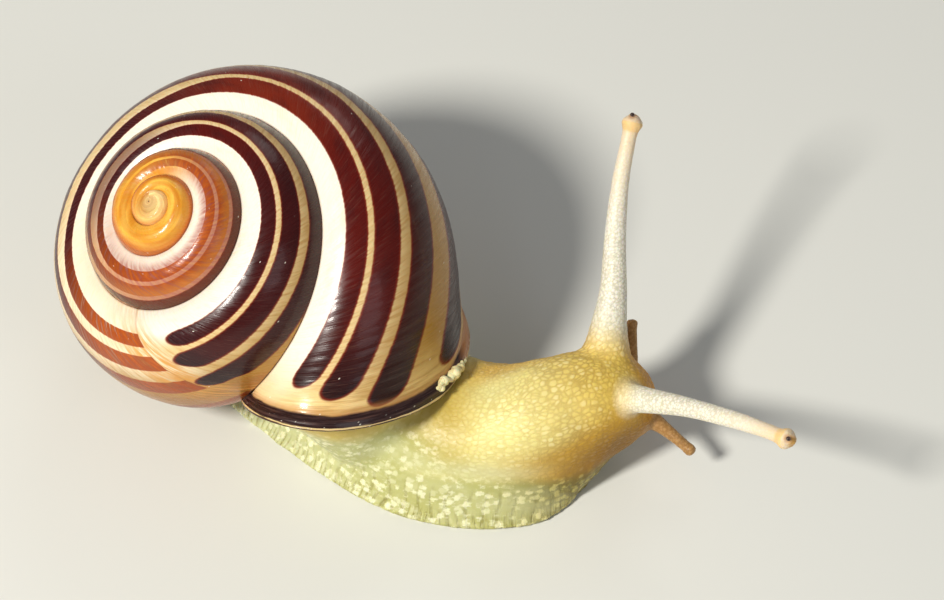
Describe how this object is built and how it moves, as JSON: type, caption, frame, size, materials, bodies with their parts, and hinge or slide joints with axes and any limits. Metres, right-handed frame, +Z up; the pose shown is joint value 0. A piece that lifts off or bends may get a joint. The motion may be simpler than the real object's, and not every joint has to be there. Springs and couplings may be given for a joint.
{
  "type": "banded grove snail",
  "caption": "Life-size still model of a crawling banded snail, coiled shell on a soft body with its head and feelers raised.",
  "frame": {"origin": "on the flat sole of the foot, under the mouth of the shell", "axes": "+X towards the head, +Y to the animal's left, +Z up from the floor"},
  "size_m": [0.0383, 0.0244, 0.0165],
  "materials": {
    "shell": "glossy calcareous shell, cream to ochre with dark brown spiral bands and fine growth lines",
    "flesh": "moist yellow-ochre skin with fine pale tubercles",
    "foot": "moist pale greenish-cream skin with a thin grooved rim",
    "feelers": "thin translucent pale skin, granular, with warm orange tips",
    "eye": "glossy near-black eye under clear skin"
  },
  "bodies": {
    "root": {"eye_left": "eye", "eye_right": "eye", "eyestalk_left_lower": "feelers", "eyestalk_left_upper": "feelers", "eyestalk_right_lower": "feelers", "eyestalk_right_upper": "feelers", "feeler_left": "feelers", "feeler_right": "feelers", "foot_front": "foot", "foot_middle": "foot", "foot_tail": "foot", "head": "flesh", "mantle": "flesh", "neck": "flesh", "shell": "shell"}
  },
  "joints": []
}
